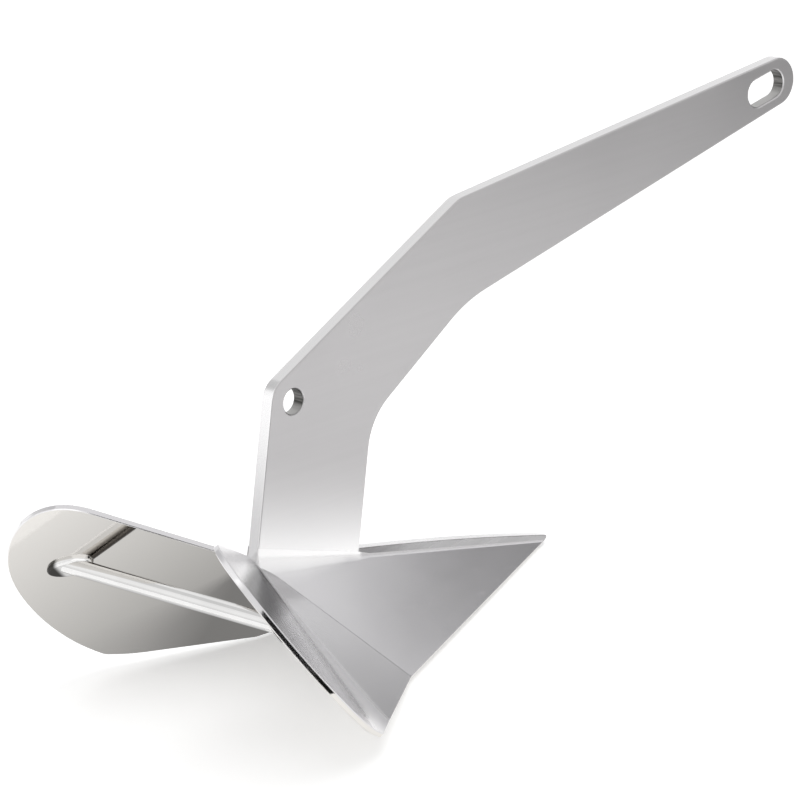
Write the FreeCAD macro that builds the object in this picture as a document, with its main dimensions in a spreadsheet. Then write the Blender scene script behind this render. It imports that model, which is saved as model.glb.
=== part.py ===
import FreeCAD, Part

import math
import os

import Sketcher

# Winged plough anchor with a fixed shank, welded from polished stainless plate and bar.
# Millimetres, +Z up, +X towards the toe and the eye of the shank. The shank is a flat plate in the
# XZ plane, and the origin is the centre of its lashing hole. The anchor stands on its toe and on its
# two wing shoulders, which is how it comes to rest on a deck.

SIZES = {
    # Shank: one flat plate, cranked twice, with a tapered arm and a slotted eye
    "plate_thick": 12.0,
    "hole_dia": 21.0,
    "eye_x": 594.5,
    "eye_z": 60.5,
    "eye_radius": 20.5,
    "slot_width": 24.0,
    "slot_travel": 21.0,
    "slot_lean": 3.0,
    "slot_wall": 14.0,
    "heel_knee_x": -18.8,
    "heel_knee_z": 18.0,
    "heel_knee_round": 22.0,
    "top_knee_x": 207.7,
    "top_knee_z": 94.8,
    "top_knee_round": 30.0,
    "throat_knee_x": 198.6,
    "throat_knee_z": 9.2,
    "throat_knee_round": 130.0,
    "leg_knee_x": 77.0,
    "leg_knee_z": -45.6,
    "leg_knee_round": 55.0,
    "leg_lean": 19.7,
    "edge_round": 1.3,
    "bore_chamfer": 1.0,
    # Ridge, the line in the middle plane that the top faces of both blades aim at
    "heel_x": -66.0,
    "heel_z": -107.0,
    # Blades: each is one plate with two folds that fan out from the heel of the ridge
    "blade_thick": 5.0,
    "toe_x": 243.4,
    "toe_z": -222.7,
    "shoulder_x": -0.4,
    "shoulder_y": 90.7,
    "shoulder_z": -220.9,
    "corner_x": -101.4,
    "corner_y": 160.5,
    "corner_z": -210.5,
    "corner_round": 10.0,
    "crest_x": -182.4,
    "crest_y": 143.4,
    "crest_z": -69.0,
    "nose_fold_round": 3.0,
    "wing_fold_round": 4.0,
    "wing_fold_spread": 150.0,
    "blade_chamfer": 0.7,
    # Round edge of a wing, as places along the wing fold from the heel and out from that fold
    "tail_along": 42.4,
    "tail_out": 122.4,
    "crest_back_along": 55.0,
    "crest_back_out": 142.7,
    "crest_along": 81.0,
    "crest_out": 153.3,
    "brow_along": 119.4,
    "brow_out": 145.9,
    "side_along": 154.3,
    "side_out": 123.7,
    "cheek_along": 178.7,
    "cheek_out": 90.7,
    "front_along": 194.8,
    "front_out": 26.0,
    # Toe bar: flat bar on edge along the ridge between the blades, chisel cut at its end
    "bar_back_x": 66.5,
    "bar_back_z": -152.9,
    "bar_crown": 1.8,
    "tip_x": 248.4,
    "tip_z": -219.2,
    "chin_x": 219.0,
    "bar_nose_round": 1.5,
    "bar_edge_round": 1.0,
    # Toe weights: wedges in the hollow under the nose, one on each side of the toe bar
    "weight_back_x": 105.0,
    "weight_front_x": 205.0,
    "weight_inset": 5.0,
    "weight_ground_gap": 1.5,
    # Cross rod between the undersides of the wings, with a weld bead round both ends
    "rod_dia": 14.0,
    "rod_x": -151.0,
    "rod_z": -103.0,
    "rod_weld_leg": 3.0,
    "rod_weld_height": 4.0,
    "rod_weld_round": 3.0,
    # Weld beads: their legs at the back and the front of the shank's foot, past it and at the toe
    "foot_weld_leg": 13.0,
    "front_weld_leg": 4.0,
    "bar_weld_leg": 2.0,
    "tip_weld_leg": 1.0,
    "weld_run_out": 12.0,
}

# Oversize stock and cutters, which the other pieces trim
BIG = 1500.0
CUTTER_REACH = 400.0
CUTTER_BELOW = 100.0
BLANK_OVERRUN = 60.0
Vector = FreeCAD.Vector
UP = Vector(0, 0, 1)
ACROSS = Vector(0, 1, 0)

doc = FreeCAD.newDocument("plough_anchor")


def make_sheet():
    sheet = doc.addObject("Spreadsheet::Sheet", "Sizes")
    for row, (alias, value) in enumerate(SIZES.items(), start=1):
        sheet.set(f"A{row}", alias)
        sheet.set(f"B{row}", str(value))
        sheet.setAlias(f"B{row}", alias)
    doc.recompute()
    return sheet


sheet = make_sheet()


def size(alias):
    return float(sheet.get(alias))


def place(name):
    """A point that the sheet gives by x and z, and by y where it has one."""
    y = size(f"{name}_y") if f"{name}_y" in SIZES else 0.0
    return Vector(size(f"{name}_x"), y, size(f"{name}_z"))


# Helpers for points, planes and solids

def unit(vector):
    return Vector(vector).normalize()


def square_to(a, b, aim):
    """Unit vector square to two directions, on the side that aim points to."""
    square = unit(a.cross(b))
    return square if square.dot(aim) > 0 else -square


def plane_normal(a, b, c):
    return square_to(b - a, c - a, UP)


def meet(*planes):
    """Point where three planes meet, each given by a point on it and its normal."""
    (p, a), (q, b), (r, c) = planes
    bc, ca, ab = b.cross(c), c.cross(a), a.cross(b)
    return (bc * p.dot(a) + ca * q.dot(b) + ab * r.dot(c)) * (1 / a.dot(bc))


def mirrored(vector):
    return Vector(vector.x, -vector.y, vector.z)


def slab(point, normal, thick):
    """Plate of the given thickness below the plane through a point."""
    box = Part.makeBox(2 * BIG, 2 * BIG, thick, Vector(-BIG, -BIG, -thick))
    box.Placement = FreeCAD.Placement(point, FreeCAD.Rotation(UP, normal))
    return box


def behind(point, normal):
    """Everything on the far side of a plane from where its normal points."""
    return slab(point, normal, BIG)


def trim(shape, *tools):
    for tool in tools:
        shape = shape.common(tool)
    return shape


def add_solid(label, shape):
    feature = doc.addObject("Part::Feature", label)
    feature.Label = label
    solids = shape.Solids
    feature.Shape = solids[0] if len(solids) == 1 else shape
    feature.Placement = FreeCAD.Placement()
    return feature


def add_mirrored(label, source):
    """The same piece on the other side of the middle plane."""
    feature = doc.addObject("Part::Mirroring", label)
    feature.Label = label
    feature.Source = source
    feature.Normal = Vector(0, 1, 0)
    doc.recompute()
    return feature


# Helpers for sketched bodies in the middle plane

def add_body(label):
    body = doc.addObject("PartDesign::Body", label)
    body.Label = label
    return body


def add_sketch(body, name):
    sketch = body.newObject("Sketcher::SketchObject", name)
    middle = next(item for item in body.Origin.OriginFeatures if item.Role == "XZ_Plane")
    sketch.AttachmentSupport = (middle, "")
    sketch.MapMode = "FlatFace"
    return sketch


def flat(point):
    """A point of the middle plane in a sketch's own two directions."""
    return Vector(point.x, point.z, 0)


def add_line(sketch, start, end):
    return sketch.addGeometry(Part.LineSegment(flat(start), flat(end)))


def bind(sketch, kind, *where, formula, value):
    index = sketch.addConstraint(Sketcher.Constraint(kind, *where, value))
    sketch.setExpression(f"Constraints[{index}]", formula)


def pin(sketch, line, end, name):
    """Tie one end of a line to a place in the sheet."""
    for kind, alias in (("DistanceX", f"{name}_x"), ("DistanceY", f"{name}_z")):
        bind(sketch, kind, -1, 1, line, end, formula=f"Sizes.{alias}", value=size(alias))


def pin_at(sketch, line, end, point):
    """Tie one end of a line to a point that is worked out from other pieces."""
    sketch.addConstraint(Sketcher.Constraint("DistanceX", -1, 1, line, end, point.x))
    sketch.addConstraint(Sketcher.Constraint("DistanceY", -1, 1, line, end, point.z))


def join(sketch, *pairs):
    for here, there in pairs:
        sketch.addConstraint(Sketcher.Constraint("Coincident", here, 2, there, 1))


def pad(body, sketch, name):
    feature = body.newObject("PartDesign::Pad", name)
    feature.Profile = sketch
    feature.SideType = "Symmetric"
    feature.setExpression("Length", "Sizes.plate_thick")
    doc.recompute()
    return feature


def cut_through(body, sketch, name):
    before = body.Shape.Volume
    feature = body.newObject("PartDesign::Pocket", name)
    feature.Profile = sketch
    feature.SideType = "Symmetric"
    feature.Type = "ThroughAll"
    doc.recompute()
    if not body.Shape.Volume < before:
        raise ValueError(f"{name} removed nothing")
    return feature


def fillet(body, base, names, name, alias):
    feature = body.newObject("PartDesign::Fillet", name)
    feature.Base = (base, names)
    feature.setExpression("Radius", f"Sizes.{alias}")
    doc.recompute()
    return feature


def chamfer(body, base, names, name, alias):
    feature = body.newObject("PartDesign::Chamfer", name)
    feature.Base = (base, names)
    feature.setExpression("Size", f"Sizes.{alias}")
    doc.recompute()
    return feature


def cross_edge(shape, point):
    """Name of the edge across a plate's thickness at one corner of its outline."""
    for index, edge in enumerate(shape.Edges, start=1):
        box = edge.BoundBox
        if box.YLength > size("edge_round") and math.hypot(box.XMin - point.x, box.ZMin - point.z) < 0.01:
            return f"Edge{index}"
    raise ValueError(f"no corner at {point}")


def face_edges(shape, keep):
    """Names of the edges in a plate's two flat faces that pass the test."""
    half = size("plate_thick") / 2
    names = []
    for index, edge in enumerate(shape.Edges, start=1):
        box = edge.BoundBox
        if box.YLength < 1e-6 and abs(abs(box.YMin) - half) < 1e-6 and keep(edge):
            names.append(f"Edge{index}")
    return names


# Planes of the blades, on the port side, and the lines that follow from them

half_plate = size("plate_thick") / 2
blade_thick = size("blade_thick")
heel, toe, shoulder, corner = (place(name) for name in ("heel", "toe", "shoulder", "corner"))
toe.y = half_plate
nose_up = plane_normal(heel, shoulder, toe)
cheek_up = plane_normal(heel, shoulder, corner)
wing_up = plane_normal(heel, corner, place("crest"))
ridge_along = square_to(nose_up, ACROSS, toe - heel)
ridge_up = square_to(ridge_along, ACROSS, UP)
flank = Vector(0, half_plate, 0)
under_nose = heel - nose_up * blade_thick
under_wing = heel - wing_up * blade_thick

shoulder_lean = unit(nose_up + cheek_up)
corner_lean = unit(cheek_up + wing_up)
shoulder_foot = shoulder - shoulder_lean * (blade_thick / shoulder_lean.dot(nose_up))
ground_z = shoulder_foot.z
nose_edge = square_to(shoulder - toe, shoulder_lean, shoulder - heel)

leg_lean = math.radians(size("leg_lean"))
leg_down = Vector(-math.sin(leg_lean), 0, -math.cos(leg_lean))
leg_front = Vector(-leg_down.z, 0, leg_down.x)
seam_foot = meet((flank, ACROSS), (under_nose, nose_up), (heel, Vector(1, 0, 0)))


def on_leg(knee, point, normal):
    """Where an edge of the shank's leg, run down from its knee, meets a plane."""
    return knee + leg_down * ((point - knee).dot(normal) / leg_down.dot(normal))


# Shank

def make_shank():
    body = add_body("shank")
    sketch = add_sketch(body, "shank_outline")
    heel_knee, top_knee, throat_knee, leg_knee, eye = (
        place(name) for name in ("heel_knee", "top_knee", "throat_knee", "leg_knee", "eye"))
    radius = size("eye_radius")
    foot_front = on_leg(leg_knee, seam_foot, ridge_up)
    foot_back = on_leg(heel_knee, seam_foot, ridge_up)
    rise = UP * radius

    back = add_line(sketch, heel_knee, top_knee)
    arm_top = add_line(sketch, top_knee, eye + rise)
    bow = sketch.addGeometry(Part.ArcOfCircle(
        Part.Circle(flat(eye), UP, radius), -math.pi / 2, math.pi / 2))
    arm_low = add_line(sketch, eye - rise, throat_knee)
    throat = add_line(sketch, throat_knee, leg_knee)
    front = add_line(sketch, leg_knee, foot_front)
    foot = add_line(sketch, foot_front, foot_back)
    rear = add_line(sketch, foot_back, heel_knee)

    join(sketch, (back, arm_top), (arm_low, throat), (throat, front), (front, foot), (foot, rear),
         (rear, back))
    sketch.addConstraint(Sketcher.Constraint("Tangent", arm_top, 2, bow, 2))
    sketch.addConstraint(Sketcher.Constraint("Tangent", bow, 1, arm_low, 1))
    pin(sketch, back, 1, "heel_knee")
    pin(sketch, back, 2, "top_knee")
    pin(sketch, throat, 1, "throat_knee")
    pin(sketch, front, 1, "leg_knee")
    pin(sketch, bow, 3, "eye")
    bind(sketch, "Radius", bow, formula="Sizes.eye_radius", value=radius)
    pin_at(sketch, front, 2, foot_front)
    pin_at(sketch, foot, 2, foot_back)
    tip = pad(body, sketch, "shank_plate")

    for name in ("heel_knee", "top_knee", "throat_knee", "leg_knee"):
        knee = [cross_edge(tip.Shape, place(name))]
        tip = fillet(body, tip, knee, f"{name}_bend", f"{name}_round")

    hole = add_sketch(body, "lashing_hole_outline")
    ring = hole.addGeometry(Part.Circle(Vector(0, 0, 0), UP, size("hole_dia") / 2))
    hole.addConstraint(Sketcher.Constraint("Coincident", ring, 3, -1, 1))
    bind(hole, "Diameter", ring, formula="Sizes.hole_dia", value=size("hole_dia"))
    cut_through(body, hole, "lashing_hole")
    tip = cut_through(body, slot_sketch(body), "shackle_slot")

    tip = chamfer(body, tip, face_edges(tip.Shape, in_bore), "bore_edges", "bore_chamfer")
    outer = lambda edge: edge.CenterOfMass.sub(seam_foot).dot(ridge_up) > 0.01 and not in_bore(edge)
    fillet(body, tip, face_edges(tip.Shape, outer), "shank_edges", "edge_round")
    return body


def slot_ends():
    """Centres of the slot's two round ends, its wall to the end of the eye kept constant."""
    lean = math.radians(size("slot_lean"))
    along = Vector(math.cos(lean), 0, math.sin(lean))
    fore = place("eye") + along * (size("eye_radius") - size("slot_wall") - size("slot_width") / 2)
    return fore - along * size("slot_travel"), fore


def in_bore(edge):
    """Whether an edge belongs to the mouth of the lashing hole or of the shackle slot."""
    aft, fore = slot_ends()
    middle = flat(edge.CenterOfMass)
    by_hole = middle.Length < size("hole_dia") / 2
    by_slot = middle.sub(flat((aft + fore) * 0.5)).Length < (size("slot_width") + size("slot_travel")) / 2
    return by_hole or by_slot


def slot_sketch(body):
    """Long hole for the pin of a shackle."""
    sketch = add_sketch(body, "shackle_slot_outline")
    radius = size("slot_width") / 2
    lean = math.radians(size("slot_lean"))
    side = Vector(-math.sin(lean), 0, math.cos(lean)) * radius
    aft, fore = slot_ends()

    top = add_line(sketch, fore + side, aft + side)
    low = add_line(sketch, aft - side, fore - side)
    turn = lean + math.pi / 2
    aft_end = sketch.addGeometry(Part.ArcOfCircle(Part.Circle(flat(aft), UP, radius), turn, turn + math.pi))
    fore_end = sketch.addGeometry(Part.ArcOfCircle(Part.Circle(flat(fore), UP, radius), turn - math.pi, turn))
    for first, end, second, start in ((top, 2, aft_end, 1), (aft_end, 2, low, 1),
                                      (low, 2, fore_end, 1), (fore_end, 2, top, 1)):
        sketch.addConstraint(Sketcher.Constraint("Tangent", first, end, second, start))
    reach = "(Sizes.eye_radius - Sizes.slot_wall - Sizes.slot_width / 2)"
    bind(sketch, "DistanceX", -1, 1, fore_end, 3, value=fore.x,
         formula=f"Sizes.eye_x + {reach} * cos(Sizes.slot_lean * 1 deg)")
    bind(sketch, "DistanceY", -1, 1, fore_end, 3, value=fore.z,
         formula=f"Sizes.eye_z + {reach} * sin(Sizes.slot_lean * 1 deg)")
    bind(sketch, "DistanceX", aft_end, 3, fore_end, 3, value=fore.x - aft.x,
         formula="Sizes.slot_travel * cos(Sizes.slot_lean * 1 deg)")
    bind(sketch, "DistanceY", aft_end, 3, fore_end, 3, value=fore.z - aft.z,
         formula="Sizes.slot_travel * sin(Sizes.slot_lean * 1 deg)")
    bind(sketch, "Radius", fore_end, formula="Sizes.slot_width / 2", value=radius)
    return sketch


# Toe bar

def bar_outline():
    """Corners of the toe bar: top back, top tip, toe, chin and bottom back."""
    leg_knee, tip = place("leg_knee"), place("tip")
    back = place("bar_back")
    top_up = unit(Vector(back.z - tip.z, 0, tip.x - back.x))
    chin = Vector(size("chin_x"), 0, ground_z)
    return [on_leg(leg_knee, back, top_up), tip, Vector(toe.x, 0, toe.z), chin,
            on_leg(leg_knee, chin, ridge_up)]


def make_toe_bar():
    body = add_body("toe_bar")
    sketch = add_sketch(body, "toe_bar_outline")
    back_top, tip, front, chin, back_low = bar_outline()
    chord = tip - back_top
    crown = size("bar_crown")
    radius = (chord.Length ** 2 / 4 + crown ** 2) / (2 * crown)
    centre = (back_top + tip) * 0.5 + square_to(chord, ACROSS, UP) * (crown - radius)
    turns = [math.atan2(point.z - centre.z, point.x - centre.x) for point in (tip, back_top)]

    top = sketch.addGeometry(Part.ArcOfCircle(Part.Circle(flat(centre), UP, radius), *turns))
    corners = (tip, front, chin, back_low, back_top)
    lines = [add_line(sketch, start, end) for start, end in zip(corners, corners[1:])]
    sketch.addConstraint(Sketcher.Constraint("Coincident", top, 1, lines[0], 1))
    sketch.addConstraint(Sketcher.Constraint("Coincident", top, 2, lines[-1], 2))
    join(sketch, *zip(lines, lines[1:]))
    sketch.addConstraint(Sketcher.Constraint("Radius", top, radius))
    pin(sketch, lines[0], 1, "tip")
    for line, point in zip(lines, corners[1:]):
        pin_at(sketch, line, 2, point)
    tip_feature = pad(body, sketch, "toe_bar_plate")

    for name, point in (("tip_nose", tip), ("toe_nose", front)):
        nose = [cross_edge(tip_feature.Shape, point)]
        tip_feature = fillet(body, tip_feature, nose, name, "bar_nose_round")
    rounded = lambda edge: isinstance(edge.Curve, Part.Circle) or edge.BoundBox.XMin > toe.x
    fillet(body, tip_feature, face_edges(tip_feature.Shape, rounded), "toe_bar_edges", "bar_edge_round")
    return body


# Blades

def edges_along(shape, point, direction):
    """Edges of a shape that lie on one straight line."""
    found = []
    for edge in shape.Edges:
        ends = [vertex.Point - point for vertex in edge.Vertexes]
        if len(ends) == 2 and all(end.cross(direction).Length < 0.01 for end in ends):
            found.append(edge)
    return found


def folded_blank():
    """Oversize plate of three flats that meet at the heel, with rounded valley folds."""
    inner_heel = meet((under_nose, nose_up), (under_wing, wing_up), (heel - cheek_up * blade_thick, cheek_up))
    nose_fold = unit(shoulder - heel)
    wing_fold = unit(corner - heel)
    nose_mitre = square_to(nose_fold, shoulder_lean, toe - heel)
    wing_mitre = square_to(wing_fold, corner_lean, toe - heel)
    length = (corner - heel).Length
    bounds = [behind(flank, -ACROSS), behind(corner + wing_fold * BLANK_OVERRUN, wing_fold)]
    nose = trim(slab(heel, nose_up, blade_thick), behind(heel, -nose_mitre), *bounds)
    cheek = trim(slab(heel, cheek_up, blade_thick), behind(heel, nose_mitre), behind(heel, -wing_mitre),
                 *bounds)
    wing = trim(slab(heel, wing_up, blade_thick), behind(heel, wing_mitre), *bounds)
    blank = nose.fuse([cheek, wing]).removeSplitter().Solids[0]

    inside, outside = size("nose_fold_round"), size("nose_fold_round") + blade_thick
    blank = blank.makeFillet(inside, edges_along(blank, heel, nose_fold))
    blank = blank.makeFillet(outside, edges_along(blank, inner_heel, nose_fold))
    # The wing fold opens up from the heel towards the corner of the wing
    for start, extra in ((heel, 0.0), (inner_heel, blade_thick)):
        for edge in edges_along(blank, start, wing_fold):
            radii = []
            for end in (edge.valueAt(edge.FirstParameter), edge.valueAt(edge.LastParameter)):
                share = (end - heel).dot(wing_fold) / length
                spread = size("wing_fold_spread") - size("wing_fold_round")
                radii.append(size("wing_fold_round") + spread * max(share, 0.0) + extra)
            blank = blank.makeFillet(*radii, [edge])
    return blank


def outline_cutter():
    """Solid whose sides are the cut edges of a blade, square to its wing."""
    along = unit(corner - heel)
    out = square_to(wing_up, along, place("crest") - heel)

    def spot(name):
        return heel + along * size(f"{name}_along") + out * size(f"{name}_out")

    tail, front = spot("tail"), spot("front")
    rim = [spot(name) for name in ("tail", "crest_back", "crest", "brow", "side", "cheek", "front")]
    curve = Part.BSplineCurve()
    leave, arrive = unit(tail - heel), unit(corner - front)
    curve.interpolate(Points=rim, InitialTangent=leave, FinalTangent=arrive, Scale=False)
    tail_far = heel - leave * CUTTER_REACH
    front_far = front + arrive * CUTTER_REACH
    runs = [Part.makeLine(tail_far, tail), curve.toShape(), Part.makeLine(front, front_far),
            Part.makeLine(front_far, tail_far)]
    face = Part.Face(Part.Wire(runs))
    face.translate(wing_up * -CUTTER_BELOW)
    cutter = face.extrude(wing_up * CUTTER_REACH)

    cheek_edge = square_to(corner - shoulder, shoulder_lean, shoulder - heel)
    cutter = cutter.common(behind(shoulder, nose_edge).fuse(behind(shoulder, cheek_edge)))
    front_edge = square_to(corner - front, wing_up, along)
    return cutter.cut(corner_waste(front_edge, cheek_edge))


def corner_waste(front_edge, cheek_edge):
    """What rounding off the wing's corner takes away between two of its cut edges."""
    radius = size("corner_round")
    axis = unit(front_edge.cross(cheek_edge))
    centre = meet((corner - front_edge * radius, front_edge), (corner - cheek_edge * radius, cheek_edge),
                  (corner, axis))
    beyond = corner + (corner - centre)
    kite = Part.makePolygon([centre, centre + front_edge * 2 * radius, beyond,
                             centre + cheek_edge * 2 * radius, centre])
    depth = 10 * blade_thick
    wedge = Part.Face(kite)
    wedge.translate(axis * -depth)
    return wedge.extrude(axis * 2 * depth).cut(
        Part.makeCylinder(radius, 2 * depth, centre - axis * depth, axis))


def turn_at(shape, edge):
    """Angle between the two faces that meet along an edge, or 0 where a face meets itself."""
    middle = edge.valueAt((edge.FirstParameter + edge.LastParameter) / 2)
    faces = shape.ancestorsOfType(edge, Part.Face)
    if len(faces) != 2:
        return 0.0
    first, second = (face.normalAt(*face.Surface.parameter(middle)) for face in faces)
    return first.getAngle(second)


def blade_shape():
    """The blank cut to its outline, with its edges broken all round but for the welded seam."""
    blade = folded_blank().common(outline_cutter()).Solids[0]
    at_seam = lambda edge: edge.BoundBox.YLength < 1e-6 and abs(edge.CenterOfMass.y - half_plate) < 1e-6
    cut_edges = [edge for edge in blade.Edges if turn_at(blade, edge) > math.pi / 4 and not at_seam(edge)]
    return blade.makeChamfer(size("blade_chamfer"), cut_edges)


# Cross rod

def make_cross_rod():
    """Round bar cut off at the wings' undersides, with a rounded weld bead at both ends."""
    reach = size("corner_y") + BLANK_OVERRUN
    start = Vector(size("rod_x"), -reach, size("rod_z"))
    radius = size("rod_dia") / 2
    under_port = behind(under_wing, wing_up)
    under_starboard = behind(mirrored(under_wing), mirrored(wing_up))
    rod = trim(Part.makeCylinder(radius, 2 * reach, start, ACROSS), under_port, under_starboard)

    stock = trim(Part.makeCylinder(radius + size("rod_weld_leg"), 2 * reach, start, ACROSS), under_port)
    seat = next(face for face in stock.Faces if abs(height_under_wing(face)) < 1e-6)
    bead = seat.extrude(wing_up * -size("rod_weld_height"))
    crown = [edge for edge in bead.Edges if abs(height_under_wing(edge) - size("rod_weld_height")) < 1e-6]
    bead = bead.makeFillet(size("rod_weld_round"), crown)
    return rod.fuse([bead, bead.mirror(Vector(), ACROSS)]).removeSplitter()


def height_under_wing(item):
    """How far the centre of an edge or face lies below the port wing's underside."""
    return (under_wing - item.CenterOfMass).dot(wing_up)


# Weld beads

def weld_section(origin, up, out, leg):
    """Hollow fillet, tangent to two faces that leave one corner in the directions up and out."""
    half_angle = up.getAngle(out) / 2
    throat = origin + unit(up + out) * leg * (1 / math.cos(half_angle) - math.tan(half_angle))
    first, last = origin + up * leg, origin + out * leg
    return Part.Wire([Part.makeLine(origin, first), Part.Arc(first, throat, last).toShape(),
                      Part.makeLine(last, origin)])


def seam_weld_shape(blade):
    """Bead along the ridge between blade and plate, full at the heel and thin from the foot's front on."""
    out = square_to(nose_up, ridge_along, ACROSS)
    seam = meet((flank, ACROSS), (heel, nose_up), (Vector(0, 0, 0), Vector(1, 0, 0)))
    foot_back = on_leg(place("heel_knee"), seam, ridge_up)
    foot_front = on_leg(place("leg_knee"), seam, ridge_up)
    front_run = (foot_front - seam).dot(ridge_along)
    stations = (
        ((foot_back - seam).dot(ridge_along), size("foot_weld_leg")),
        (front_run, size("front_weld_leg")),
        (front_run + size("weld_run_out"), size("bar_weld_leg")),
        ((toe - seam).dot(ridge_along) - size("bar_weld_leg"), size("tip_weld_leg")),
    )
    sections = [weld_section(seam + ridge_along * run, ridge_up, out, leg) for run, leg in stations]
    return Part.makeLoft(sections, True, True).cut(blade)


def heel_weld_shape(blade):
    """Weld metal that bridges the two blades behind the shank's foot."""
    ends = [face for face in blade.Faces
            if abs(face.CenterOfMass.y - half_plate) < 1e-6 and face.BoundBox.YLength < 1e-6]
    bridge = ends[0].extrude(-ACROSS * size("plate_thick"))
    return trim(bridge, behind(place("heel_knee"), leg_front))


# Toe weights

def toe_weight_shape():
    """Wedge that fills the hollow between the toe bar, the nose of a blade and the ground."""
    back, fore = size("weight_back_x"), size("weight_front_x")
    floor_z = ground_z + size("weight_ground_gap")
    block = Part.makeBox(fore - back, size("shoulder_y"), heel.z - floor_z,
                         Vector(back, half_plate, floor_z))
    edge_inset = shoulder - nose_edge * size("weight_inset")
    return trim(block, behind(under_nose, nose_up), behind(edge_inset, nose_edge))


shank = make_shank()
toe_bar = make_toe_bar()
blade_port = add_solid("blade_port", blade_shape())
blade_starboard = add_mirrored("blade_starboard", blade_port)
cross_rod = add_solid("cross_rod", make_cross_rod())
seam_weld_port = add_solid("seam_weld_port", seam_weld_shape(blade_port.Shape))
seam_weld_starboard = add_mirrored("seam_weld_starboard", seam_weld_port)
heel_weld = add_solid("heel_weld", heel_weld_shape(blade_port.Shape))
toe_weight_port = add_solid("toe_weight_port", toe_weight_shape())
toe_weight_starboard = add_mirrored("toe_weight_starboard", toe_weight_port)

PIECES = (shank, toe_bar, blade_port, blade_starboard, cross_rod, seam_weld_port, seam_weld_starboard,
          heel_weld, toe_weight_port, toe_weight_starboard)


def check_document():
    for item in doc.Objects:
        if {"Invalid", "Error"} & set(item.State):
            raise ValueError(f"{item.Label} failed: {item.State}")
    for piece in PIECES:
        if piece.Shape.isNull() or not piece.Shape.isValid():
            raise ValueError(f"{piece.Label} has no valid shape")


def export_pieces():
    os.makedirs("parts", exist_ok=True)
    for piece in PIECES:
        piece.Shape.exportStep(f"parts/{piece.Label}.step")
        print(f"{piece.Label}: {piece.Shape.Volume / 1000:.1f} cm3, {len(piece.Shape.Solids)} solid")


doc.recompute()
check_document()
export_pieces()
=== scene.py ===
"""Looks of the plough anchor: satin and polished stainless plate on a white floor."""

import math

import bmesh
import bpy
from mathutils import Matrix, Quaternion, Vector


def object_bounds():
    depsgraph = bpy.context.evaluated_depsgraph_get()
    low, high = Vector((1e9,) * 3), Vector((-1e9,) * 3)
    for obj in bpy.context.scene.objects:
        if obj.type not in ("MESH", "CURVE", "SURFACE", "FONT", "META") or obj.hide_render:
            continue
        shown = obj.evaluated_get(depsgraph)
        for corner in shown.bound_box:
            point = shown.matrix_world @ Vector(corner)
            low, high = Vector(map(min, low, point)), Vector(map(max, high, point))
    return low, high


# The camera: where it stands, where it looks and how far it leans, in metres and degrees.
# Every heading here runs from -Y towards +X.
CAMERA_PLACE = (-2.35934, -2.77055, 1.44145)
CAMERA_HEADING = 138.227
CAMERA_DOWN = 21.814
CAMERA_LEAN = 9.297
CAMERA_REACH = 50.0
LENS_MM = 225.0
SENSOR_MM = 36.0

# The white room: the floor, and how strongly the room lights what isn't a mirror
FLOOR_RADIUS = 7.0
FLOOR_CORNERS = 96
FLOOR_CLEARANCE = 0.0002
FLOOR_WHITE = 0.93
FLOOR_LIFT = 0.36
SKY_ON_SURFACES = 0.5

# Soft lamps: heading and height of each in degrees, then distance, width and height in metres,
# and brightness
LAMP_AIM = (0.2, 0.0, -0.05)
LAMPS = (
    ("overhead_box", -20.0, 72.0, 2.2, 2.2, 1.6, 1.5),
    ("back_box", 158.0, 42.0, 2.6, 2.0, 1.4, 1.2),
    ("left_box", -130.0, 24.0, 2.6, 1.4, 1.4, 1.2),
)

# Cards that only reflections see, in metres, named for where each stands or for what shows it.
# Standing ones: centre, the way that they face, width, height and shade.
# Those on the floor: centre, length along X and Y, and shade.
# A shade that fades is an axis and two places along it, each with its own shade.
CARD_CLEARANCE = 0.0004
UP = (0.0, 0.0, 1.0)
TOE_SIDE_FADE = ("Y", (0.165, 0.33), (0.3, 1.05))
LEFT_SIDE_FADE = ("Z", (-0.03, 0.9), (0.1, 1.05))
STANDING_CARDS = (
    ("toe_side_card", (1.2, 0.2, 0.0743), (-1.0, 0.0, 0.0), 1.0, 0.6, TOE_SIDE_FADE),
    ("rim_side_card", (-0.32, -0.36, -0.085), (0.65, 0.76, 0.0), 0.2, 0.28, 0.01),
    ("left_side_card", (-0.73, 0.72, 0.12), (0.7, -0.7, 0.0), 0.7, 0.66, LEFT_SIDE_FADE),
    ("edge_side_card", (-1.02, -0.35, 0.34), (0.84, 0.23, -0.4), 0.9, 1.0, 1.3),
    ("behind_card", (-0.3, 1.6, 1.6), (0.0, -1.0, 0.0), 1.2, 2.4, 0.75),
)
FLOOR_CARDS = (
    ("eye_floor_card", (1.15, -0.62), 0.9, 0.9, ("X", (0.75, 1.0), (1.25, 0.4))),
    ("cheek_floor_card", (0.78, 0.25), 0.8, 0.4, 0.95),
    # Painted shadow of the anchor on the floor under it, seen only in reflections
    ("under_shadow_card", (-0.09, 0.12), 0.28, 0.23, ("X", (-0.23, 1.0), (-0.04, 0.25))),
    ("rim_floor_card", (-0.235, -0.335), 0.15, 0.17, 0.01),
)

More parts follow.
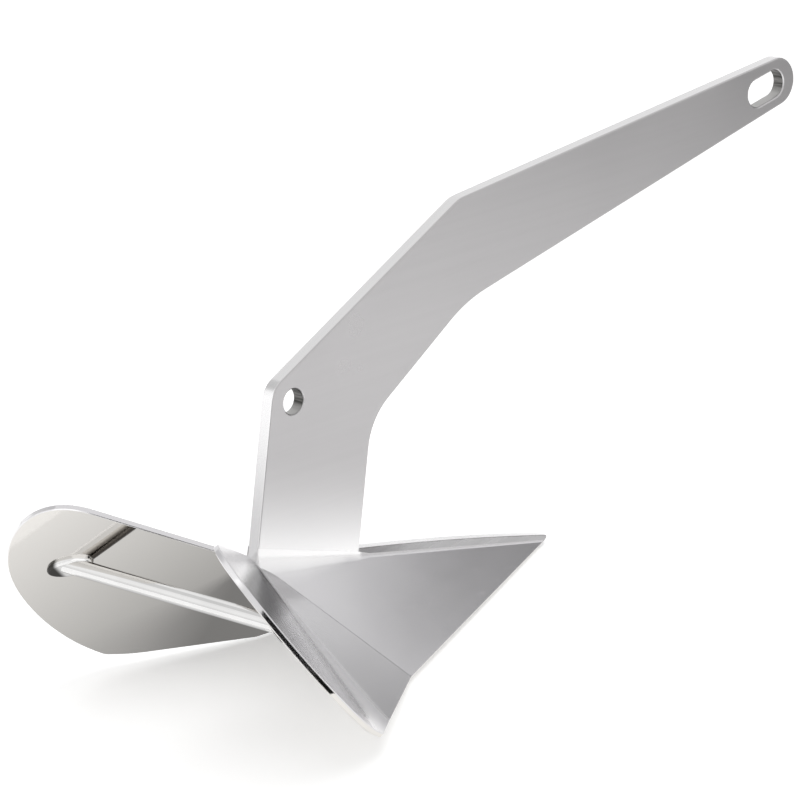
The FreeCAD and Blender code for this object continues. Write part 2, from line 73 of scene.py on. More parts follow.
# Metals: the colour that each plate, bar, weld and bore reflects
NO_TINT = (1.0, 1.0, 1.0)
SATIN_GREY = (0.49, 0.48, 0.485)
EDGE_GREY = (0.70, 0.695, 0.70)
# Painted highlight on the leg's back edge, growing up from the foot
BACK_EDGE_PAINTED_HIGHLIGHT_GREY = (0.95, 0.945, 0.95)
# Ground polish at the foot, with a painted brightness: on the plates, then on the weld beads
DRESSED_POLISH_AND_PAINTED_LIGHT_GREY = (0.92, 0.915, 0.915)
WELD_POLISH_AND_PAINTED_LIGHT_GREY = (0.94, 0.935, 0.935)
# Painted shade on the toe bar's sides in the corner by the leg
CORNER_PAINTED_SHADE_GREY = (0.22, 0.215, 0.22)
BAR_SIDE_GREY = (0.39, 0.385, 0.39)
FLANK_GREY = (0.67, 0.66, 0.675)
# Painted reflection: a warm tint of the floor that the blades' undersides reflect
UNDERSIDE_PAINTED_REFLECTION_GREY = (0.76, 0.74, 0.71)
# Painted light: the wings' grey, brighter than the rest of the same plate
WING_PAINTED_LIGHT_GREY = (0.86, 0.85, 0.86)
# Painted shade: grey and specular tint of the dark band on the starboard wing beside the heel
WING_PAINTED_SHADE_GREY = (0.52, 0.515, 0.52)
WING_PAINTED_SHADE_TINT = (0.44, 0.44, 0.44)
BAR_GREY = (0.80, 0.795, 0.79)
# Painted shade on the front side of the cross rod
BAR_FRONT_PAINTED_SHADE_GREY = (0.16, 0.15, 0.14)
# Painted shade where the rod's weld beads meet the blades
BEAD_TOE_PAINTED_SHADE_GREY = (0.05, 0.048, 0.045)
# Bore walls: cut finish, darkened further as painted shade in the recess
BORE_CUT_AND_SHADE_DARK = (0.06, 0.06, 0.056)
BORE_CUT_AND_SHADE_GREY = (0.24, 0.235, 0.23)
# Painted light on the bore walls that face up
BORE_FLOOR_PAINTED_LIGHT_GREY = (0.42, 0.415, 0.41)
WEIGHT_GREY = (0.42, 0.42, 0.42)

# How far each grey varies over its surface, as two factors, and how much of the dressed grey
# glints in the grain of the toe bar
SATIN_MOTTLE = (0.99, 1.01)
FLANK_MOTTLE = (0.975, 1.025)
UNDERSIDE_MOTTLE = (1.0, 0.97)
BAR_MOTTLE = (1.0, 0.95)
WEIGHT_MOTTLE = (1.0, 0.9)
TOE_BAR_GLINT = (0.0, 0.08)

# Roughness: the two ends that marks or grain vary it between, and what edges, bores, folds,
# streaks and scuffs add to it or take off
SATIN_ROUGH = (0.27, 0.34)
SATIN_EDGE_SMOOTHER = 0.12
BORE_ROUGHER = 0.2
SATIN_SCUFF_ROUGHER = 0.05
BLADE_ROUGH = (0.2, 0.05)
BLADE_SMOOTHEST = 0.05
WING_SMOOTHER = 0.07
FOLD_ROUGHER = 0.16
STREAK_ROUGHER = 0.03
BLADE_SCUFF_ROUGHER = 0.03
BAR_ROUGH = (0.05, 0.1)
TOE_BAR_ROUGH = (0.22, 0.3)
TOE_BAR_EDGE_SMOOTHER = 0.1
WELD_ROUGH = (0.19, 0.24)
WEIGHT_ROUGH = (0.38, 0.5)

# Bumps: strength, and height in metres
SATIN_BUMP = (0.25, 0.00004)
BLADE_BUMP = (0.06, 0.00002)
BAR_BUMP = (0.1, 0.00002)
WELD_BUMP = (0.08, 0.0001)
WEIGHT_BUMP = (0.3, 0.00005)

# Grain, scuffs and file marks: the spans of noise and of turned edge that count, how the patterns
# are turned in degrees and stretched, and the radius of a broken edge in metres
NOISE_SPAN = (0.3, 0.7)
BORE_GRAIN_SPAN = (0.35, 0.65)
SHANK_GRAIN_LEAN = -8.0
BORE_GRAIN_STRETCH = (1.0, 0.08, 1.0)
BAR_RING_TURN = 90.0
STREAK_SCALE = 0.12
SCUFF_TURN = (0.4, 0.9, 0.3)
SCUFF_STRETCH = (6.0, 260.0, 260.0)
SCUFF_SPAN = (0.66, 0.74)
EDGE_ROUNDING = 0.0009
EDGE_SPAN = (0.998, 0.88)

# Masks from the way that a face points: the parts of its normal that they rise or fall between
CUT_EDGE_SPAN = (0.55, 0.25)
BACK_EDGE_SPAN = (-0.6, -0.8)
# Bore walls facing up, which take painted light
BORE_FLOOR_LIGHT_SPAN = (0.4, 0.95)
UNDERSIDE_SPAN = (0.1, -0.1)
WING_SPAN = (0.5, 0.68)
FOLD_RISE_SPAN = (0.46, 0.54)
FOLD_FALL_SPAN = (0.62, 0.72)
RIM_SPAN = (-0.3, -0.42)
# Front side of the cross rod, where its painted shade lies
BAR_FRONT_SHADE_SPAN = (-0.05, 0.5)
WELD_TOP_SPAN = (0.05, 0.6)

# Foot of the shank, where the welds are ground and polished into the plates and a painted brightness
# lies on them: its centre, the two ways that it is measured, and how far the polish and the painted
# brightness reach up the leg and out over the blades. A run is a stretch along the ridge from the
# centre, and a rise a stretch up from it.
FOOT_CENTRE = (-0.0046, 0.0, -0.1318)
RIDGE_ALONG = (0.936, 0.0, -0.352)
RIDGE_UP = (0.352, 0.0, 0.936)
HALF_PLATE = 0.006
DRESSED_RISE = 0.085
DRESSED_SIDE_RUN = (-0.02, 0.035)
DRESSED_SIDE_REACH = (0.018, 0.003)
FOOT_START_RUN = (-0.085, -0.06)
FOOT_END_RUN = (0.047, 0.052)
# Stretch along the ridge over which the toe bar's painted corner shade clears
CORNER_SHADE_CLEAR_RUN = (0.052, 0.13)
# Rise over which the painted highlight on the leg's back edge comes in
BACK_EDGE_HIGHLIGHT_RISE = (0.02, 0.12)

# Outer ends of the weld beads of the cross rod, where painted shade darkens them, as distances from
# the middle plane
BEAD_TOE_REACH = (0.1215, 0.127)

# Starboard wing beside the heel: where a band of painted shade, standing in for a dark reflection,
# starts, the way that it is measured along the wing, and the distances over which it comes and goes
PAINTED_SHADE_BAND_START = (-0.0773, -0.0106, -0.1017)
PAINTED_SHADE_BAND_WAY = (0.171, -0.559, -0.811)
PAINTED_SHADE_BAND_RISE = (0.001, 0.013)
PAINTED_SHADE_BAND_FALL = (0.033, 0.056)

# Bore walls of the shank: the lashing hole and the shackle slot, in metres and degrees
HOLE_CENTRE = (0.0, 0.0, 0.0)
HOLE_REACH = 0.0107
SLOT_CENTRE = (0.5785, 0.0, 0.0597)
SLOT_HALF_TRAVEL = 0.0105
SLOT_LEAN = 3.0
SLOT_REACH = 0.0122


def add_node(tree, kind, **values):
    """Adds a node and sets its properties and the plain values of its inputs."""
    node = tree.nodes.new(kind)
    for key, value in values.items():
        if key in node.inputs:
            node.inputs[key].default_value = value
        else:
            setattr(node, key, value)
    return node


def link(tree, out, into):
    """Joins an output socket to an input socket."""
    tree.links.new(out, into)


def math_node(tree, operation, first, second=None):
    """Adds a Math node whose inputs are sockets or numbers."""
    node = tree.nodes.new("ShaderNodeMath")
    node.operation = operation
    for slot, value in enumerate((first, second)):
        if value is None:
            continue
        if isinstance(value, (int, float)):
            node.inputs[slot].default_value = value
        else:
            link(tree, value, node.inputs[slot])
    return node.outputs[0]


def plus(tree, first, second):
    """The sum of two values."""
    return math_node(tree, "ADD", first, second)


def minus(tree, first, second):
    """The difference of two values."""
    return math_node(tree, "SUBTRACT", first, second)


def times(tree, first, second):
    """The product of two values."""
    return math_node(tree, "MULTIPLY", first, second)


def larger(tree, first, second):
    """The larger of two values."""
    return math_node(tree, "MAXIMUM", first, second)


def remap(tree, value, low, high, to_low, to_high, smooth=True):
    """Adds a Map Range node from the range low to high to the range to_low to to_high."""
    node = tree.nodes.new("ShaderNodeMapRange")
    node.interpolation_type = "SMOOTHSTEP" if smooth else "LINEAR"
    link(tree, value, node.inputs["Value"])
    node.inputs["From Min"].default_value = low
    node.inputs["From Max"].default_value = high
    node.inputs["To Min"].default_value = to_low
    node.inputs["To Max"].default_value = to_high
    return node.outputs["Result"]


def rise(tree, value, span):
    """Mask that climbs from 0 at the first value of a span to 1 at its second."""
    return remap(tree, value, *span, 0.0, 1.0)


def fall(tree, value, span):
    """Mask that drops from 1 at the first value of a span to 0 at its second."""
    return remap(tree, value, *span, 1.0, 0.0)


def vary(tree, noise, ends):
    """Spreads a noise pattern over the range between two ends."""
    return remap(tree, noise, *NOISE_SPAN, *ends)


def mix_colour(tree, share, first, second):
    """Adds a Mix node for colours; the share is a socket, the colours sockets or tuples."""
    node = tree.nodes.new("ShaderNodeMix")
    node.data_type = "RGBA"
    link(tree, share, node.inputs[0])
    for name, value in (("A", first), ("B", second)):
        socket = next(s for s in node.inputs if s.name == name and s.type == "RGBA")
        if isinstance(value, tuple):
            socket.default_value = (*value, 1.0)
        else:
            link(tree, value, socket)
    return next(s for s in node.outputs if s.type == "RGBA")


def mottled(tree, tone, grey, factors):
    """A grey that a tone from 0 to 1 varies between two factors of itself."""
    low, high = (tuple(factor * part for part in grey) for factor in factors)
    return mix_colour(tree, tone, low, high)


def parts_of(tree, vector):
    """The X, Y and Z of a vector."""
    parts = tree.nodes.new("ShaderNodeSeparateXYZ")
    link(tree, vector, parts.inputs[0])
    return parts.outputs


def along_axis(tree, place, centre, axis):
    """Distance of a place from a centre, measured along an axis."""
    from_centre = add_node(tree, "ShaderNodeVectorMath", operation="SUBTRACT")
    link(tree, place, from_centre.inputs[0])
    from_centre.inputs[1].default_value = centre
    reach = add_node(tree, "ShaderNodeVectorMath", operation="DOT_PRODUCT")
    link(tree, from_centre.outputs[0], reach.inputs[0])
    reach.inputs[1].default_value = axis
    return reach.outputs["Value"]


def turned_place(tree, place, degrees, axis):
    """A place turned about the axis X, Y or Z, so that a pattern's lines lie another way."""
    turned = tree.nodes.new("ShaderNodeMapping")
    turn = ["X", "Y", "Z"].index(axis)
    turned.inputs["Rotation"].default_value[turn] = math.radians(degrees)
    link(tree, place, turned.inputs["Vector"])
    return turned.outputs[0]


def stretched_place(tree, place, scale):
    """A place stretched along each axis."""
    stretched = tree.nodes.new("ShaderNodeMapping")
    stretched.inputs["Scale"].default_value = scale
    link(tree, place, stretched.inputs["Vector"])
    return stretched.outputs[0]


def new_group(name, inputs, outputs):
    """Makes a shader node group with named sockets and returns it with its two ends."""
    group = bpy.data.node_groups.new(name, "ShaderNodeTree")
    for label, kind, default in inputs:
        socket = group.interface.new_socket(label, in_out="INPUT", socket_type=kind)
        if default is not None:
            socket.default_value = default
    for label, kind in outputs:
        group.interface.new_socket(label, in_out="OUTPUT", socket_type=kind)
    return group, group.nodes.new("NodeGroupInput").outputs, group.nodes.new("NodeGroupOutput").inputs


def grain_group():
    """Fine parallel lines that a belt or brush leaves, with their length along X."""
    group, given, result = new_group(
        "belt_grain",
        [
            ("Place", "NodeSocketVector", None),
            ("Lines", "NodeSocketFloat", 900.0),
            ("Length", "NodeSocketFloat", 14.0),
        ],
        [("Height", "NodeSocketFloat"), ("Streak", "NodeSocketFloat")],
    )
    spread = group.nodes.new("ShaderNodeCombineXYZ")
    link(group, given["Length"], spread.inputs["X"])
    link(group, given["Lines"], spread.inputs["Y"])
    link(group, given["Lines"], spread.inputs["Z"])
    stretched = add_node(group, "ShaderNodeVectorMath", operation="MULTIPLY")
    link(group, given["Place"], stretched.inputs[0])
    link(group, spread.outputs[0], stretched.inputs[1])
    fine = add_node(group, "ShaderNodeTexNoise", Scale=1.0, Detail=3.0, Roughness=0.6)
    link(group, stretched.outputs[0], fine.inputs["Vector"])
    link(group, fine.outputs["Fac"], result["Height"])
    broad = add_node(group, "ShaderNodeVectorMath", operation="SCALE", Scale=STREAK_SCALE)
    link(group, stretched.outputs[0], broad.inputs[0])
    streak = add_node(group, "ShaderNodeTexNoise", Scale=1.0, Detail=2.0, Roughness=0.5)
    link(group, broad.outputs[0], streak.inputs["Vector"])
    link(group, streak.outputs["Fac"], result["Streak"])
    return group


def handling_group():
    """Soft clouds and a few fine scuffs that polishing and handling leave."""
    group, given, result = new_group(
        "polish_marks",
        [("Place", "NodeSocketVector", None), ("Size", "NodeSocketFloat", 9.0)],
        [("Cloud", "NodeSocketFloat"), ("Scuff", "NodeSocketFloat")],
    )
    cloud = add_node(group, "ShaderNodeTexNoise", Detail=3.0, Roughness=0.5, Distortion=0.6)
    link(group, given["Place"], cloud.inputs["Vector"])
    link(group, given["Size"], cloud.inputs["Scale"])
    link(group, cloud.outputs["Fac"], result["Cloud"])
    turned = add_node(group, "ShaderNodeMapping", Rotation=SCUFF_TURN, Scale=SCUFF_STRETCH)
    link(group, given["Place"], turned.inputs["Vector"])
    lines = add_node(group, "ShaderNodeTexNoise", Scale=1.0, Detail=1.0, Roughness=0.4)
    link(group, turned.outputs[0], lines.inputs["Vector"])
    link(group, rise(group, lines.outputs["Fac"], SCUFF_SPAN), result["Scuff"])
    return group


def rounded_edge_group():
    """The small rounding that a file leaves on every edge: its mask and its normal."""
    group, _, result = new_group(
        "broken_edge",
        [],
        [("Mask", "NodeSocketFloat"), ("Normal", "NodeSocketVector")],
    )
    bevel = add_node(group, "ShaderNodeBevel", samples=6, Radius=EDGE_ROUNDING)
    geometry = group.nodes.new("ShaderNodeNewGeometry")
    match = add_node(group, "ShaderNodeVectorMath", operation="DOT_PRODUCT")
    link(group, bevel.outputs[0], match.inputs[0])
    link(group, geometry.outputs["Normal"], match.inputs[1])
    link(group, rise(group, match.outputs["Value"], EDGE_SPAN), result["Mask"])
    link(group, bevel.outputs[0], result["Normal"])
    return group


def dressed_group():
    """1 on the weld at the foot of the shank, fading up the leg and out over the blades, where ground
    polish and a painted brightness lie.

    It also gives the distance along the ridge from the foot's centre, and the height over it.
    """
    group, given, result = new_group(
        "dressed_zone",
        [("Place", "NodeSocketVector", None)],
        [("Mask", "NodeSocketFloat"), ("Run", "NodeSocketFloat"), ("Rise", "NodeSocketFloat")],
    )
    height = along_axis(group, given["Place"], FOOT_CENTRE, RIDGE_UP)
    run = along_axis(group, given["Place"], FOOT_CENTRE, RIDGE_ALONG)
    sideways = math_node(group, "ABSOLUTE", parts_of(group, given["Place"])["Y"])
    out = minus(group, sideways, HALF_PLATE)
    side_reach = remap(group, run, *DRESSED_SIDE_RUN, *DRESSED_SIDE_REACH, smooth=False)
    up_share = math_node(group, "DIVIDE", larger(group, height, 0.0), DRESSED_RISE)
    out_share = math_node(group, "DIVIDE", larger(group, out, 0.0), side_reach)
    far = plus(group, times(group, up_share, up_share), times(group, out_share, out_share))
    near = minus(group, 1.0, math_node(group, "SQRT", far))
    near = larger(group, near, 0.0)
    near = times(group, near, near)
    before_end = fall(group, run, FOOT_END_RUN)
    past_start = rise(group, run, FOOT_START_RUN)
    mask = times(group, times(group, near, before_end), past_start)
    link(group, mask, result["Mask"])
    link(group, run, result["Run"])
    link(group, height, result["Rise"])
    return group


def lay(tree, group, place=None, **values):
    """Lays one of the groups on a material, at a place where it has one, and returns its outputs."""
    node = tree.nodes.new("ShaderNodeGroup")
    node.node_tree = group
    if place is not None:
        link(tree, place, node.inputs["Place"])
    for key, value in values.items():
        node.inputs[key].default_value = value
    return node.outputs


def new_metal(name):
    """Makes an all metal material; returns it, its tree, its shader's inputs and its coordinates."""
    material = bpy.data.materials.new(name)
    material.use_nodes = True
    tree = material.node_tree
    shader = tree.nodes["Principled BSDF"]
    shader.inputs["Metallic"].default_value = 1.0
    return material, tree, shader.inputs, tree.nodes.new("ShaderNodeTexCoord").outputs


def bump(tree, height, normal, strength, distance):
    """The normal that a height pattern gives, on top of another normal where there is one."""
    node = add_node(tree, "ShaderNodeBump", Strength=strength, Distance=distance)
    link(tree, height, node.inputs["Height"])
    if normal is not None:
        link(tree, normal, node.inputs["Normal"])
    return node.outputs["Normal"]


def slot_mask(tree, place, centre, half_travel, lean, radius):
    """1 inside a round hole or a long slot through the plate, else 0, from X and Z alone."""
    shifted = add_node(tree, "ShaderNodeMapping", vector_type="TEXTURE")
    shifted.inputs["Location"].default_value = centre
    shifted.inputs["Rotation"].default_value = (0.0, -math.radians(lean), 0.0)
    link(tree, place, shifted.inputs["Vector"])
    parts = parts_of(tree, shifted.outputs[0])
    past = minus(tree, math_node(tree, "ABSOLUTE", parts["X"]), half_travel)
    past = larger(tree, past, 0.0)
    square = plus(tree, times(tree, past, past), times(tree, parts["Z"], parts["Z"]))
    return math_node(tree, "LESS_THAN", math_node(tree, "SQRT", square), radius)


def bore_finish(tree, groups, here, facing):
    """Walls of the hole and the slot: their mask, and a dull grey with the drill's rings, darkened as
    painted shade and lighter where a wall faces up, as painted light.
    """
    hole = slot_mask(tree, here, HOLE_CENTRE, 0.0, 0.0, HOLE_REACH)
    slot = slot_mask(tree, here, SLOT_CENTRE, SLOT_HALF_TRAVEL, SLOT_LEAN, SLOT_REACH)
    rings = stretched_place(tree, here, BORE_GRAIN_STRETCH)
    drill = lay(tree, groups["grain"], rings, Lines=260.0, Length=260.0)
    # Cut grey with the drill's rings, darkened as painted shade
    dull = mix_colour(tree, rise(tree, drill["Height"], BORE_GRAIN_SPAN), BORE_CUT_AND_SHADE_DARK, BORE_CUT_AND_SHADE_GREY)
    # Painted light on the walls that face up
    dull = mix_colour(tree, rise(tree, facing["Z"], BORE_FLOOR_LIGHT_SPAN), dull, BORE_FLOOR_PAINTED_LIGHT_GREY)
    return larger(tree, hole, slot), dull


def satin_plate(groups):
    """Shank plate: satin faces with the grain along the arm, polished edges, and dull bores darkened
    with painted shade and lightened with painted light where their walls face up.

    The face grows bright towards the weld at the foot, from ground polish and a painted brightness,
    and the leg's back edge grows bright up from it as a painted highlight.
    """
    material, tree, shader, coordinates = new_metal("satin_plate_finish")
    here = coordinates["Object"]
    facing = parts_of(tree, coordinates["Normal"])
    grain_way = turned_place(tree, here, SHANK_GRAIN_LEAN, "Y")
    grain = lay(tree, groups["grain"], grain_way, Lines=1400.0, Length=16.0)
    marks = lay(tree, groups["marks"], here, Size=7.0)
    edge = lay(tree, groups["edge"])
    dressed = lay(tree, groups["dressed"], here)
    cut_edge = rise(tree, math_node(tree, "ABSOLUTE", facing["Y"]), CUT_EDGE_SPAN)
    bright = larger(tree, cut_edge, edge["Mask"])
    on_back = rise(tree, facing["X"], BACK_EDGE_SPAN)
    # Painted highlight on the leg's back edge, rising from the foot
    painted_back_highlight = times(tree, on_back, rise(tree, dressed["Rise"], BACK_EDGE_HIGHLIGHT_RISE))
    bored, dull = bore_finish(tree, groups, here, facing)

    colour = mottled(tree, rise(tree, grain["Streak"], NOISE_SPAN), SATIN_GREY, SATIN_MOTTLE)
    # Ground polish at the foot, with painted brightness fading up the leg
    colour = mix_colour(tree, dressed["Mask"], colour, DRESSED_POLISH_AND_PAINTED_LIGHT_GREY)
    colour = mix_colour(tree, bright, colour, EDGE_GREY)
    colour = mix_colour(tree, painted_back_highlight, colour, BACK_EDGE_PAINTED_HIGHLIGHT_GREY)
    colour = mix_colour(tree, bored, colour, dull)
    link(tree, colour, shader["Base Color"])

    rough = vary(tree, marks["Cloud"], SATIN_ROUGH)
    rough = minus(tree, rough, times(tree, bright, SATIN_EDGE_SMOOTHER))
    rough = plus(tree, rough, times(tree, bored, BORE_ROUGHER))
    rough = plus(tree, rough, times(tree, marks["Scuff"], SATIN_SCUFF_ROUGHER))
    link(tree, rough, shader["Roughness"])
    link(tree, bump(tree, grain["Height"], edge["Normal"], *SATIN_BUMP), shader["Normal"])
    return material


def polished_plate(groups):
    """Blades: soft polish on the outer faces, close to a mirror on the rim and underneath.

    The wings are brighter than the nose and the cheeks with painted light, and dull along their fold,
    and the starboard one has a band of painted shade beside the heel, standing in for a dark
    reflection.
    """
    material, tree, shader, coordinates = new_metal("polished_plate_finish")
    here = coordinates["Object"]
    facing = parts_of(tree, coordinates["Normal"])
    grain = lay(tree, groups["grain"], here, Lines=700.0, Length=40.0)
    marks = lay(tree, groups["marks"], here, Size=6.0)
    edge = lay(tree, groups["edge"])
    dressed = lay(tree, groups["dressed"], here)
    under = rise(tree, facing["Z"], UNDERSIDE_SPAN)
    sideways = math_node(tree, "ABSOLUTE", facing["X"])
    on_wing = rise(tree, sideways, WING_SPAN)
    on_fold = times(tree, rise(tree, sideways, FOLD_RISE_SPAN), fall(tree, sideways, FOLD_FALL_SPAN))
    # Painted shade: a band on the starboard wing beside the heel, standing in for a dark reflection
    band = along_axis(tree, here, PAINTED_SHADE_BAND_START, PAINTED_SHADE_BAND_WAY)
    dark = times(tree, rise(tree, band, PAINTED_SHADE_BAND_RISE), fall(tree, band, PAINTED_SHADE_BAND_FALL))
    dark = times(tree, on_wing, dark)

    tone = rise(tree, marks["Cloud"], NOISE_SPAN)
    outer = mottled(tree, tone, FLANK_GREY, FLANK_MOTTLE)
    # Ground polish at the foot, with painted brightness fading out over the blades
    outer = mix_colour(tree, dressed["Mask"], outer, DRESSED_POLISH_AND_PAINTED_LIGHT_GREY)
    # Painted light: the wings take a brighter grey than the nose and the cheeks
    outer = mix_colour(tree, on_wing, outer, WING_PAINTED_LIGHT_GREY)
    outer = mix_colour(tree, dark, outer, WING_PAINTED_SHADE_GREY)
    # Painted reflection: the undersides take a warmer grey, tinted like the floor they reflect
    inner = mottled(tree, tone, UNDERSIDE_PAINTED_REFLECTION_GREY, UNDERSIDE_MOTTLE)
    colour = mix_colour(tree, under, outer, inner)
    colour = mix_colour(tree, edge["Mask"], colour, EDGE_GREY)
    link(tree, colour, shader["Base Color"])
    link(tree, mix_colour(tree, dark, NO_TINT, WING_PAINTED_SHADE_TINT), shader["Specular Tint"])

    mirror = larger(tree, under, rise(tree, facing["X"], RIM_SPAN))
    rough = remap(tree, mirror, 0.0, 1.0, *BLADE_ROUGH, smooth=False)
    rough = minus(tree, rough, times(tree, on_wing, WING_SMOOTHER))
    rough = plus(tree, rough, times(tree, on_fold, FOLD_ROUGHER))
    rough = larger(tree, rough, BLADE_SMOOTHEST)
    rough = plus(tree, rough, times(tree, grain["Streak"], STREAK_ROUGHER))
    rough = plus(tree, rough, times(tree, marks["Scuff"], BLADE_SCUFF_ROUGHER))
    link(tree, rough, shader["Roughness"])
    link(tree, bump(tree, grain["Height"], edge["Normal"], *BLADE_BUMP), shader["Normal"])
    return material


def polished_bar(groups):
    """Cross rod: mirror polished round bar with faint rings from the polishing lathe.

    It has painted shade on its front side and at the outer ends of its beads, where they meet the
    blades.
    """
    material, tree, shader, coordinates = new_metal("polished_bar_finish")
    here = coordinates["Object"]
    facing = parts_of(tree, coordinates["Normal"])
    rings = turned_place(tree, here, BAR_RING_TURN, "Z")
    grain = lay(tree, groups["grain"], rings, Lines=500.0, Length=60.0)
    marks = lay(tree, groups["marks"], here, Size=20.0)
    sideways = math_node(tree, "ABSOLUTE", parts_of(tree, here)["Y"])
    # Painted shade on the rod's front side
    inside = rise(tree, facing["X"], BAR_FRONT_SHADE_SPAN)
    painted_bead_shade = rise(tree, sideways, BEAD_TOE_REACH)
    colour = mottled(tree, rise(tree, marks["Cloud"], NOISE_SPAN), BAR_GREY, BAR_MOTTLE)
    colour = mix_colour(tree, inside, colour, BAR_FRONT_PAINTED_SHADE_GREY)
    colour = mix_colour(tree, painted_bead_shade, colour, BEAD_TOE_PAINTED_SHADE_GREY)
    link(tree, colour, shader["Base Color"])
    link(tree, vary(tree, grain["Streak"], BAR_ROUGH), shader["Roughness"])
    link(tree, bump(tree, grain["Height"], None, *BAR_BUMP), shader["Normal"])
    return material


def toe_bar_plate(groups):
    """Toe bar: satin sides, with painted shade in the corner by the leg, and bright along the ridge.
    """
    material, tree, shader, coordinates = new_metal("toe_bar_finish")
    here = coordinates["Object"]
    facing = parts_of(tree, coordinates["Normal"])
    grain = lay(tree, groups["grain"], here, Lines=1400.0, Length=16.0)
    edge = lay(tree, groups["edge"])
    dressed = lay(tree, groups["dressed"], here)
    # Painted shade: darkest in the corner by the leg, clearing along the ridge
    clear = rise(tree, dressed["Run"], CORNER_SHADE_CLEAR_RUN)
    cut_edge = rise(tree, math_node(tree, "ABSOLUTE", facing["Y"]), CUT_EDGE_SPAN)
    bright = larger(tree, cut_edge, edge["Mask"])
    colour = mix_colour(tree, clear, CORNER_PAINTED_SHADE_GREY, BAR_SIDE_GREY)
    colour = mix_colour(tree, vary(tree, grain["Streak"], TOE_BAR_GLINT), colour, DRESSED_POLISH_AND_PAINTED_LIGHT_GREY)
    colour = mix_colour(tree, bright, colour, EDGE_GREY)
    link(tree, colour, shader["Base Color"])
    rough = vary(tree, grain["Streak"], TOE_BAR_ROUGH)
    rough = minus(tree, rough, times(tree, bright, TOE_BAR_EDGE_SMOOTHER))
    link(tree, rough, shader["Roughness"])
    link(tree, bump(tree, grain["Height"], edge["Normal"], *SATIN_BUMP), shader["Normal"])
    return material


def dressed_weld(groups):
    """Weld beads: ground and polished until they flow from the shank's tone into the blades', and
    brightened near the foot as painted light.
    """
    material, tree, shader, coordinates = new_metal("dressed_weld_finish")
    here = coordinates["Object"]
    facing = parts_of(tree, coordinates["Normal"])
    marks = lay(tree, groups["marks"], here, Size=60.0)
    dressed = lay(tree, groups["dressed"], here)
    colour = mix_colour(tree, rise(tree, facing["Z"], WELD_TOP_SPAN), SATIN_GREY, FLANK_GREY)
    # Ground polish near the foot, with painted brightness
    colour = mix_colour(tree, dressed["Mask"], colour, WELD_POLISH_AND_PAINTED_LIGHT_GREY)
    link(tree, colour, shader["Base Color"])
    link(tree, vary(tree, marks["Cloud"], WELD_ROUGH), shader["Roughness"])
    link(tree, bump(tree, marks["Cloud"], None, *WELD_BUMP), shader["Normal"])
    return material


def toe_weight(groups):
    """Ballast wedges: plain ground steel."""
    material, tree, shader, coordinates = new_metal("toe_weight_finish")
    grain = lay(tree, groups["grain"], coordinates["Object"], Lines=900.0, Length=30.0)
    colour = mottled(tree, rise(tree, grain["Streak"], NOISE_SPAN), WEIGHT_GREY, WEIGHT_MOTTLE)
    link(tree, colour, shader["Base Color"])
    link(tree, vary(tree, grain["Height"], WEIGHT_ROUGH), shader["Roughness"])
    link(tree, bump(tree, grain["Height"], None, *WEIGHT_BUMP), shader["Normal"])
    return material


def dress_nodes(nodes):
    """Gives every CAD node the finish of its material slot."""
    groups = {
        "grain": grain_group(),
        "marks": handling_group(),
        "edge": rounded_edge_group(),
        "dressed": dressed_group(),
    }
    finishes = {
        satin_plate: ("shank",),
        toe_bar_plate: ("toe_bar",),
        polished_plate: ("blade_port", "blade_starboard"),
        polished_bar: ("cross_rod",),
        dressed_weld: ("seam_weld_port", "seam_weld_starboard", "heel_weld"),
        toe_weight: ("toe_weight_port", "toe_weight_starboard"),
    }
    for finish, names in finishes.items():
        material = finish(groups)
        for name in names:
            nodes[name].data.materials.clear()
            nodes[name].data.materials.append(material)


def stage_plane(name, material, matrix, circle=False):
    """Makes one flat stage piece, a round floor or a square card of side 1 before the matrix."""
    mesh = bpy.data.meshes.new(name)
    shape = bmesh.new()
    if circle:
        bmesh.ops.create_circle(shape, cap_ends=True, segments=FLOOR_CORNERS, radius=1.0)
    else:
        bmesh.ops.create_grid(shape, x_segments=1, y_segments=1, size=0.5)
    bmesh.ops.transform(shape, matrix=matrix, verts=shape.verts)
    shape.to_mesh(mesh)
    shape.free()
    mesh.materials.append(material)
    piece = bpy.data.objects.new(name, mesh)
    bpy.context.scene.collection.objects.link(piece)
    return piece


def stage_material(name):
    """Makes an empty stage material; returns it, its tree and the socket of its surface."""
    material = bpy.data.materials.new(name)
    material.use_nodes = True
    tree = material.node_tree
    tree.nodes.remove(tree.nodes["Principled BSDF"])
    return material, tree, tree.nodes["Material Output"].inputs["Surface"]


def seen_directly(tree):
    """1 for rays from the camera and for rays that metal or glass sends on, else 0."""
    path = tree.nodes.new("ShaderNodeLightPath").outputs
    seen = larger(tree, path["Is Camera Ray"], path["Is Glossy Ray"])
    return larger(tree, seen, path["Is Transmission Ray"])


def floor_material():
    """White paint, lifted where it is seen, so that it shows white but for the anchor's shadow."""
    material, tree, surface = stage_material("white_floor")
    paint = add_node(tree, "ShaderNodeBsdfDiffuse", Color=(FLOOR_WHITE, FLOOR_WHITE, FLOOR_WHITE, 1.0))
    glow = tree.nodes.new("ShaderNodeEmission")
    link(tree, times(tree, seen_directly(tree), FLOOR_LIFT), glow.inputs["Strength"])
    both = tree.nodes.new("ShaderNodeAddShader")
    link(tree, paint.outputs[0], both.inputs[0])
    link(tree, glow.outputs[0], both.inputs[1])
    link(tree, both.outputs[0], surface)
    return material


def card_material(name, shade):
    """One shade of grey, or an axis and two places along it with their shades, to fade between."""
    material, tree, surface = stage_material(name)
    glow = tree.nodes.new("ShaderNodeEmission")
    if isinstance(shade, float):
        glow.inputs["Strength"].default_value = shade
    else:
        axis, (first, first_shade), (last, last_shade) = shade
        place = parts_of(tree, tree.nodes.new("ShaderNodeTexCoord").outputs["Object"])
        fade = remap(tree, place[axis], first, last, first_shade, last_shade, smooth=False)
        link(tree, fade, glow.inputs["Strength"])
    link(tree, glow.outputs[0], surface)
    return material


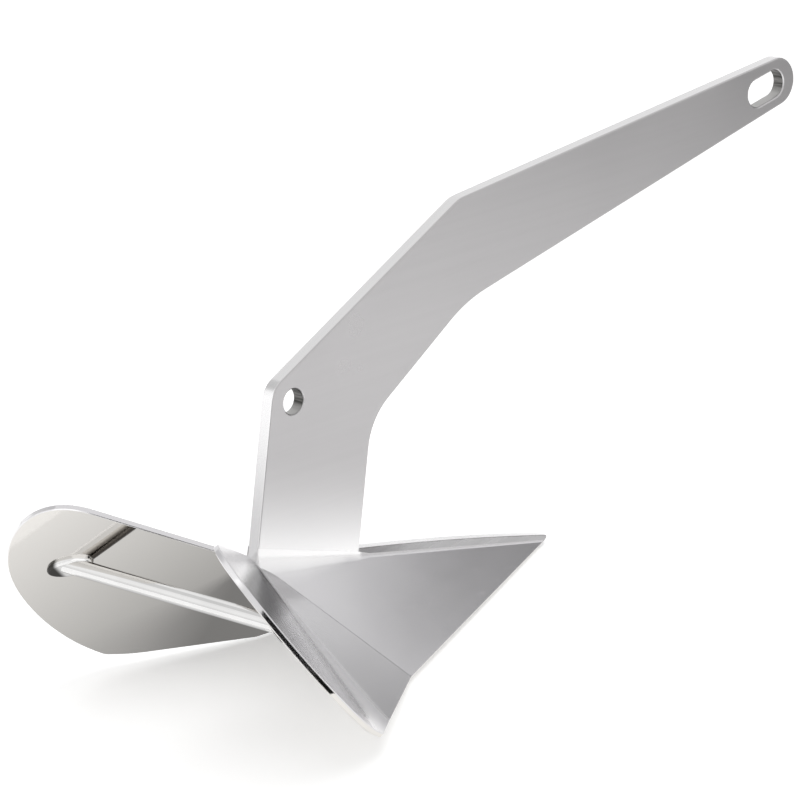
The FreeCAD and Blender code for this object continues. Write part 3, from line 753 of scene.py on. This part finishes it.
def add_card(name, centre, facing, width, height, shade):
    """Stands a flat card of one shade at a point, square to the way it faces.

    Only reflections show it: the camera, the floor and the shadows don't.
    """
    turn = Vector(facing).to_track_quat("Z", "Y").to_matrix().to_4x4()
    size = Matrix.Diagonal((width, height, 1.0, 1.0))
    card = stage_plane(name, card_material(name, shade), Matrix.Translation(centre) @ turn @ size)
    card.visible_camera = False
    card.visible_diffuse = False
    card.visible_shadow = False


def towards(heading, up):
    """Unit vector at a heading from -Y towards +X and an angle up, both in degrees."""
    a = math.radians(heading)
    e = math.radians(up)
    return Vector((math.sin(a) * math.cos(e), -math.cos(a) * math.cos(e), math.sin(e)))


def add_softbox(name, heading, up, distance, width, height, brightness):
    """Hangs a soft rectangular lamp; the metal reflects the cards and the white room instead of it."""
    lamp = bpy.data.lights.new(name, "AREA")
    lamp.shape = "RECTANGLE"
    lamp.size = width
    lamp.size_y = height
    lamp.energy = brightness * math.pi * width * height
    box = bpy.data.objects.new(name, lamp)
    way = towards(heading, up)
    box.location = Vector(LAMP_AIM) + way * distance
    box.rotation_euler = way.to_track_quat("Z", "Y").to_euler()
    bpy.context.scene.collection.objects.link(box)
    box.visible_camera = False
    box.visible_glossy = False


def add_room():
    """White surroundings, at full strength only where the camera or a reflection sees them."""
    world = bpy.data.worlds.new("white_room")
    world.use_nodes = True
    bpy.context.scene.world = world
    tree = world.node_tree
    background = tree.nodes["Background"]
    background.inputs["Color"].default_value = (1.0, 1.0, 1.0, 1.0)
    strength = remap(tree, seen_directly(tree), 0.0, 1.0, SKY_ON_SURFACES, 1.0, smooth=False)
    link(tree, strength, background.inputs["Strength"])


def build_stage(lowest):
    """Floor under the lowest point, lamps, cards that the metal reflects and the white room."""
    down = Matrix.Translation((0.0, 0.0, lowest - FLOOR_CLEARANCE))
    round_floor = down @ Matrix.Diagonal((FLOOR_RADIUS, FLOOR_RADIUS, 1.0, 1.0))
    stage_plane("floor", floor_material(), round_floor, circle=True)
    for lamp in LAMPS:
        add_softbox(*lamp)
    for card in STANDING_CARDS:
        add_card(*card)
    for name, (x, y), width, height, shade in FLOOR_CARDS:
        add_card(name, (x, y, lowest + CARD_CLEARANCE), UP, width, height, shade)
    add_room()


def add_camera():
    """Long lens from the photograph's viewpoint, leaning a little to one side."""
    data = bpy.data.cameras.new("camera")
    data.lens = LENS_MM
    data.sensor_width = SENSOR_MM
    data.clip_end = CAMERA_REACH
    camera = bpy.data.objects.new("camera", data)
    look = towards(CAMERA_HEADING, -CAMERA_DOWN)
    lean = Quaternion(look, math.radians(CAMERA_LEAN))
    camera.rotation_mode = "QUATERNION"
    camera.rotation_quaternion = lean @ look.to_track_quat("-Z", "Y")
    camera.location = CAMERA_PLACE
    bpy.context.scene.collection.objects.link(camera)
    bpy.context.scene.camera = camera


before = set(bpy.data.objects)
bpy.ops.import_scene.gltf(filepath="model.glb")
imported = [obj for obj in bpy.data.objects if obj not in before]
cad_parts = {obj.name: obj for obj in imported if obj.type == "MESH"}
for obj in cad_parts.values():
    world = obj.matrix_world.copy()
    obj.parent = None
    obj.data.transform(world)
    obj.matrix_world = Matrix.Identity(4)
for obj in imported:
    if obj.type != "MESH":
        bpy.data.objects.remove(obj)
cad_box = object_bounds()
bpy.context.scene.view_settings.view_transform = "Standard"
dress_nodes(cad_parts)
build_stage(cad_box[0].z)
add_camera()
